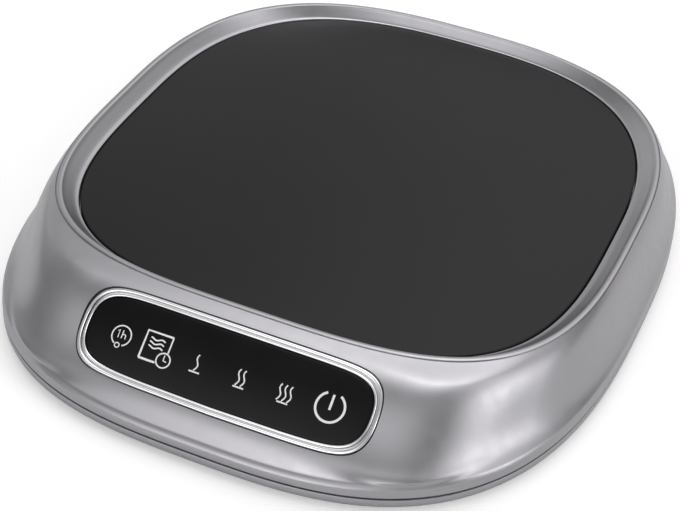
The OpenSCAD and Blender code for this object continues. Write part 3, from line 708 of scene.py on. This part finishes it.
def vent_cutters():
    """Slots with round ends, in two rows under the heater."""
    width, length, height = 2.4 * MM, 18 * MM, FLOOR_TOP + 1 * MM
    pitch, row_offset, in_row = 6 * MM, 24 * MM, 8
    deselect()
    bpy.ops.mesh.primitive_cube_add(size=1)
    slot = place(bpy.context.object, Matrix.Diagonal((width, length, 2 * height, 1)))
    bm = edit_mesh(slot)
    bpy.ops.mesh.select_all(action="DESELECT")
    bpy.ops.mesh.select_mode(type="EDGE")
    for edge in bm.edges:
        if abs(edge.verts[0].co.z - edge.verts[1].co.z) > height:
            edge.select_set(True)
    bmesh.update_edit_mesh(slot.data)
    bpy.ops.mesh.bevel(offset=1.1 * MM, segments=6, affect="EDGES")
    bpy.ops.object.mode_set(mode="OBJECT")
    places = [((i - (in_row - 1) / 2) * pitch, rim_outline.shift + row * row_offset, 0)
              for row in (-1, 1) for i in range(in_row)]
    slots = [duplicate(slot, at) for at in places]
    bpy.data.objects.remove(slot, do_unlink=True)
    return slots


FOOT_RADIUS = 6.8 * MM
FOOT_SEAT = 7 * MM
FOOT_PLACES = [(x * (foot_high.x - FOOT_RADIUS), y * (foot_high.y - FOOT_RADIUS))
               for x in (-1, 1) for y in (-1, 1)]
BASE_SCREW_HEAD = 3 * MM
BASE_SCREW_SHANK = 1.65 * MM
BOARD_CORNER = 3.5 * MM  # how far in from the board's edges its screws stand
board_low, board_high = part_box("main_board")
clamp_low, clamp_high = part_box("cord_clamp")


def build_base():
    """A pan with a band that shows under the shell, screw wells, foot seats and vents."""
    def ring(inset, height):
        return ring_of(base_outline.inset(inset * MM), height)

    rings = [ring(inset, BASE_BOTTOM + rise * MM)
             for inset, rise in ((6, 0), (1.4, 0), (0.8, 0.06), (0.42, 0.28), (0.15, 0.65), (0, 1.2))]
    rings += [ring(inset, BAND_TOP + rise * MM)
              for inset, rise in ((0, -0.25), (0.08, -0.08), (0.3, 0), (1.9, 0), (1.9, 1), (3.5, 1))]
    rings.append(ring(3.5, FLOOR_TOP))
    base = loft("base_pan", rings)
    board_places = [(x * (board_high.x - BOARD_CORNER), y) for x in (-1, 1)
                    for y in (board_low.y + BOARD_CORNER, board_high.y - BOARD_CORNER)]
    sunk = FLOOR_TOP - 0.5 * MM
    posts = [pin(at, sunk, POST_BOTTOM, 4 * MM) for at in BASE_SCREWS]
    posts += [pin(at, sunk, board_low.z, 2.5 * MM) for at in board_places]
    deselect()
    bpy.ops.mesh.primitive_cube_add(size=1)
    seat_size = (clamp_high.x - clamp_low.x, clamp_high.y - clamp_low.y, clamp_low.z - sunk)
    seat_middle = (0, (clamp_low.y + clamp_high.y) / 2, (clamp_low.z + sunk) / 2)
    clamp_seat = bpy.context.object
    posts.append(place(clamp_seat, Matrix.Translation(seat_middle) @ Matrix.Diagonal((*seat_size, 1))))
    join_on(base, join("base_posts", posts))
    well = [(BASE_SCREW_HEAD, -1 * MM), (BASE_SCREW_HEAD, BASE_BOTTOM + 2 * MM),
            (BASE_SCREW_SHANK, BASE_BOTTOM + 2 * MM), (BASE_SCREW_SHANK, POST_BOTTOM + 1 * MM)]
    wells = [turned("well", (*at, 0), well, 40) for at in BASE_SCREWS]
    seats = [pin(at, -1 * MM, BASE_BOTTOM + 0.8 * MM, FOOT_SEAT, 64) for at in FOOT_PLACES]
    holes = [pin(at, FLOOR_TOP - 0.7 * MM, board_low.z + 1 * MM, 1 * MM) for at in board_places]
    return cut(base, join("base_holes", wells + seats + holes + vent_cutters()))


base = smooth(build_base())
finish_piece(base, finishes["silver_paint"], "silver_paint", "base_housing")


# ---------------------------------------------------------------- chrome ring, lens and signs


def build_bezel():
    """Two polished beads with a narrow groove between them."""
    pocket_floor = POCKET_FLOOR / MM
    outer_bead = [(0, pocket_floor), (0, -0.12), (0.06, 0.08), (0.22, 0.24), (0.46, 0.3), (0.68, 0.24),
                  (0.82, 0.08), (0.86, -0.2)]
    groove = [(0.88, -1.3), (1.16, -1.3)]
    inner_bead = [(1.18, -0.2), (1.24, 0.04), (1.42, 0.18), (1.6, 0.18), (1.74, 0.04), (1.8, -0.2),
                  (1.8, pocket_floor)]
    return panel_loft("chrome_ring", outer_bead + groove + inner_bead, closed=True)


bezel = smooth(build_bezel(), 50)
finish_piece(bezel, finishes["chrome"], "chrome", "panel_bezel")


def build_lens():
    """One unbroken lens with an eased edge, close inside the ring."""
    edge = [(1.86, POCKET_FLOOR / MM), (1.86, -0.55), (2.0, -0.32), (2.4, LENS_TOP / MM)]
    return panel_loft("panel_glass", edge)


lens = smooth(build_lens(), 40)
finish_piece(lens, finishes["lens_black"], "lens_black", "panel_lens")

STROKE_THICKNESS = 0.03 * MM


def stroke(points, width, closed=False):
    """A printed line along points (millimetres in the panel's frame): a round tube, pressed flat."""
    curve = bpy.data.curves.new("stroke", "CURVE")
    curve.dimensions = "3D"
    curve.bevel_depth = width * MM / 2
    curve.bevel_resolution = 3
    curve.use_fill_caps = True
    spline = curve.splines.new("POLY")
    spline.points.add(len(points) - 1)
    for point, (x, y) in zip(spline.points, points):
        point.co = (x * MM, y * MM, 0, 1)
    spline.use_cyclic_u = closed
    line = bpy.data.objects.new("stroke", curve)
    bpy.context.collection.objects.link(line)
    pick(line)
    bpy.ops.object.convert(target="MESH")
    line = bpy.context.object
    flat = Matrix.Diagonal((1, 1, STROKE_THICKNESS / (width * MM), 1))
    return place(line, PANEL_FRAME @ Matrix.Translation((0, 0, LENS_TOP + 0.01 * MM)) @ flat)


def arc(centre, radius, start, end, steps=40):
    """Points round a centre from start to end, in degrees."""
    angles = [math.radians(mix(start, end, i / steps)) for i in range(steps + 1)]
    return [(centre[0] + radius * math.cos(a), centre[1] + radius * math.sin(a)) for a in angles]


def wave(foot, height, sway, steps=24):
    """A line of rising steam."""
    points = []
    for i in range(steps + 1):
        share = i / steps
        x = foot[0] + sway * math.sin(2 * math.pi * share * 1.05 - 0.5) + 0.15 * share
        points.append((x, foot[1] + height * share))
    return points


LINE = 0.32
SIGN_LINE = -3.1


def timer_sign(x):
    ring = (x, -0.75)
    yield arc(ring, 2.3, -68, 243), LINE
    yield arc((x - 0.25, -3.05), 0.55, 0, 360), 0.26
    yield [(x - 1.15, 0.1), (x - 0.75, 0.45), (x - 0.75, -1.35)], 0.24
    yield [(x + 0.1, 0.55), (x + 0.1, -1.35)], 0.24
    yield [(x + 0.1, -0.6)] + arc((x + 0.55, -0.75), 0.45, 160, 0, 12) + [(x + 1.0, -1.35)], 0.24


def programme_sign(x):
    left, right, top, low = x - 3.2, x + 3.1, 2.5, -4.0
    clock = (x + 2.6, -3.0)
    yield [(left, low), (left, top), (right, top)], 0.5
    yield [(right, top), (right, -1.2)], 0.36
    yield [(left, low), (x + 0.9, low)], 0.5
    yield arc(clock, 1.65, 0, 360), 0.34
    yield [(clock[0], clock[1] + 1.2), clock, (clock[0] + 0.8, clock[1] - 0.15)], 0.28
    for row in (1.0, 0.05, -0.9):
        yield [(x - 2.0 + 3.6 * i / 20, row + 0.22 * math.cos(2 * math.pi * i / 20 * 1.3))
               for i in range(21)], 0.34


def steam_sign(x, waves):
    yield [(x - 1.3, SIGN_LINE), (x + 1.3, SIGN_LINE)], 0.36
    for i in range(waves):
        foot = x - 0.1 + 1.25 * (i - (waves - 1) / 2)
        yield wave((foot, SIGN_LINE + 0.3), 3.7, 0.36), 0.32


def power_sign(x):
    yield arc((x, -0.6), 3.3, 118, 422), 0.56
    yield [(x, -1.2), (x, 2.25)], 0.56


def build_signs():
    signs = [timer_sign(-25.9), programme_sign(-17.1), steam_sign(-6.8, 1), steam_sign(4.0, 2),
             steam_sign(14.6, 3), power_sign(25.1)]
    return join("panel_signs", [stroke(points, width) for sign in signs for points, width in sign])


signs = build_signs()
finish_piece(signs, sign_white(), "white_plastic")


# ---------------------------------------------------------------- feet


def build_feet():
    """Round rubber feet, each with a raised ring round a shallow recess underneath."""
    height = foot_high.z - foot_low.z
    radius = FOOT_RADIUS / MM
    profile = [(0.6, 0.3), (radius - 2.6, 0.3), (radius - 2.3, 0), (radius - 0.6, 0), (radius - 0.15, 0.18),
               (radius, 0.6), (radius, height / MM)]
    profile = [(r * MM, z * MM) for r, z in profile]
    feet = [turned("foot", (*at, foot_low.z), profile) for at in FOOT_PLACES]
    return join("round_feet", feet)


feet = smooth(build_feet(), 40)
finish_piece(feet, finishes["foot_rubber"], "foot_rubber", "rubber_feet")


# ---------------------------------------------------------------- cord gland


def build_gland():
    """A rubber grommet with a flange on each side of its boss and a rounded mouth."""
    flange = (gland_high.z - gland_low.z) / 2 / MM
    neck, bore = flange - 0.8, flange - 1.4
    long = (gland_high.y - gland_low.y) / MM
    profile = [(bore, 0.2), (bore + 0.2, 0), (flange - 0.25, 0), (flange, 0.25), (flange, 1), (neck, 1),
               (neck, long - 1), (flange, long - 1), (flange, long - 0.35), (flange - 0.1, long - 0.1),
               (flange - 0.35, long), (bore + 0.45, long), (bore + 0.12, long - 0.12), (bore, long - 0.4)]
    rings = [profile_ring(Vector((0, 0, 0)), radius * MM, height * MM) for radius, height in profile]
    gland = loft("rubber_gland", rings, 64, closed=True)
    middle = (0, gland_low.y, (gland_low.z + gland_high.z) / 2)
    return place(gland, Matrix.Translation(middle) @ Matrix.Rotation(math.radians(-90), 4, "X"))


gland = smooth(build_gland(), 40)
finish_piece(gland, finishes["gland_black"], "gland_black", "cord_gland")


# ---------------------------------------------------------------- floor, light and camera

FLOOR_SIZE = 6
FLOOR_WHITE = (0.8, 0.8, 0.8, 1)
FLOOR_SEEN_GLOW = 0.34
FLOOR_MIRRORED_GLOW = 0.02


def build_floor():
    """Plain pale floor with a faint light of its own, weaker in reflections than to the camera."""
    deselect()
    bpy.ops.mesh.primitive_plane_add(size=FLOOR_SIZE, location=(0, 0, 0))
    floor = bpy.context.object
    floor.name = "studio_floor"
    n = Nodes("studio_white")
    n.tree.nodes.remove(n.shader)
    output = n.tree.nodes["Material Output"]
    matt = n.add("ShaderNodeBsdfDiffuse")
    matt.inputs["Color"].default_value = FLOOR_WHITE
    glow = n.add("ShaderNodeEmission")
    path = n.add("ShaderNodeLightPath")
    seen = n.add("ShaderNodeMath", operation="MULTIPLY_ADD")
    seen.inputs[1].default_value = FLOOR_SEEN_GLOW
    n.link(path.outputs["Is Camera Ray"], seen.inputs[0])
    n.link(n.scaled(path.outputs["Is Glossy Ray"], 0, 1, 0, FLOOR_MIRRORED_GLOW), seen.inputs[2])
    n.link(seen.outputs[0], glow.inputs["Strength"])
    both = n.add("ShaderNodeAddShader")
    n.link(matt.outputs[0], both.inputs[0])
    n.link(glow.outputs[0], both.inputs[1])
    n.link(both.outputs[0], output.inputs["Surface"])
    floor.data.materials.append(n.material)


# Soft lamps of the studio: direction (azimuth from +X towards +Y, elevation), how tight, how bright
STUDIO_LEVEL = 0.2
STUDIO_LAMPS = [
    (0, 3, 12, 0.28), (270, 3, 12, 2.0), (157, 25, 12, 0.4), (247, 25, 12, 0.85), (90, 45, 14, 1.1),
    (270, 45, 14, 0.42), (72, 78, 30, 2.0), (144, 78, 30, 1.6), (357, 14, 40, 2.4), (355, 32, 40, 2.2),
    (8, 54, 40, 1.4), (133, 5, 12, 0.4), (60, 35, 12, 0.15),
]


def build_world():
    world = bpy.data.worlds.new("studio")
    bpy.context.scene.world = world
    world.use_nodes = True
    tree = world.node_tree
    direction = tree.nodes.new("ShaderNodeTexCoord").outputs["Generated"]

    def maths(operation, first, second):
        node = tree.nodes.new("ShaderNodeMath")
        node.operation = operation
        for value, socket in zip((first, second), node.inputs):
            if isinstance(value, (int, float)):
                socket.default_value = value
            else:
                tree.links.new(value, socket)
        return node.outputs[0]

    total = STUDIO_LEVEL
    for azimuth, elevation, tight, bright in STUDIO_LAMPS:
        a, e = math.radians(azimuth), math.radians(elevation)
        facing = tree.nodes.new("ShaderNodeVectorMath")
        facing.operation = "DOT_PRODUCT"
        facing.inputs[1].default_value = (math.cos(a) * math.cos(e), math.sin(a) * math.cos(e), math.sin(e))
        tree.links.new(direction, facing.inputs[0])
        away = maths("MULTIPLY", maths("SUBTRACT", facing.outputs["Value"], 1.0), float(tight))
        total = maths("ADD", maths("MULTIPLY", maths("EXPONENT", away, 0.0), bright), total)
    background = tree.nodes["Background"]
    background.inputs["Color"].default_value = (1.0, 0.995, 1.0, 1)
    tree.links.new(total, background.inputs["Strength"])


def softbox(name, at, target, width, height, power):
    light = bpy.data.lights.new(name, "AREA")
    light.shape = "RECTANGLE"
    light.size, light.size_y = width, height
    light.energy = power
    lamp = bpy.data.objects.new(name, light)
    bpy.context.collection.objects.link(lamp)
    lamp.location = at
    lamp.rotation_euler = (Vector(target) - Vector(at)).to_track_quat("-Z", "Y").to_euler()
    return lamp


CAMERA_AZIMUTH, CAMERA_ELEVATION, CAMERA_ROLL = 21.34, 38.463, 3.997
CAMERA_PLACE = Vector((119.4, -318.5, 262.9)) * MM
CAMERA_LENS = 88.161
CAMERA_SENSOR = 36


def build_camera():
    """At the photograph's angle, with no shift."""
    azimuth, elevation, roll = (math.radians(a) for a in (CAMERA_AZIMUTH, CAMERA_ELEVATION, CAMERA_ROLL))
    back = Vector((math.sin(azimuth) * math.cos(elevation), -math.cos(azimuth) * math.cos(elevation),
                   math.sin(elevation)))
    side = Vector((math.cos(azimuth), math.sin(azimuth), 0))
    up = back.cross(side)
    right = math.cos(roll) * side + math.sin(roll) * up
    camera = bpy.data.objects.new("camera", bpy.data.cameras.new("camera"))
    camera.data.lens = CAMERA_LENS
    camera.data.sensor_width = CAMERA_SENSOR
    camera.data.clip_start = 0.01
    turn = Matrix((right, back.cross(right), back)).transposed().to_4x4()
    camera.matrix_world = Matrix.Translation(CAMERA_PLACE) @ turn
    bpy.context.collection.objects.link(camera)
    bpy.context.scene.camera = camera


build_floor()
build_world()
softbox("top_back", (-0.1, 0.35, 0.95), (0, 0, 0), 0.5, 0.4, 0.4)
build_camera()
bpy.context.scene.view_settings.view_transform = "Standard"
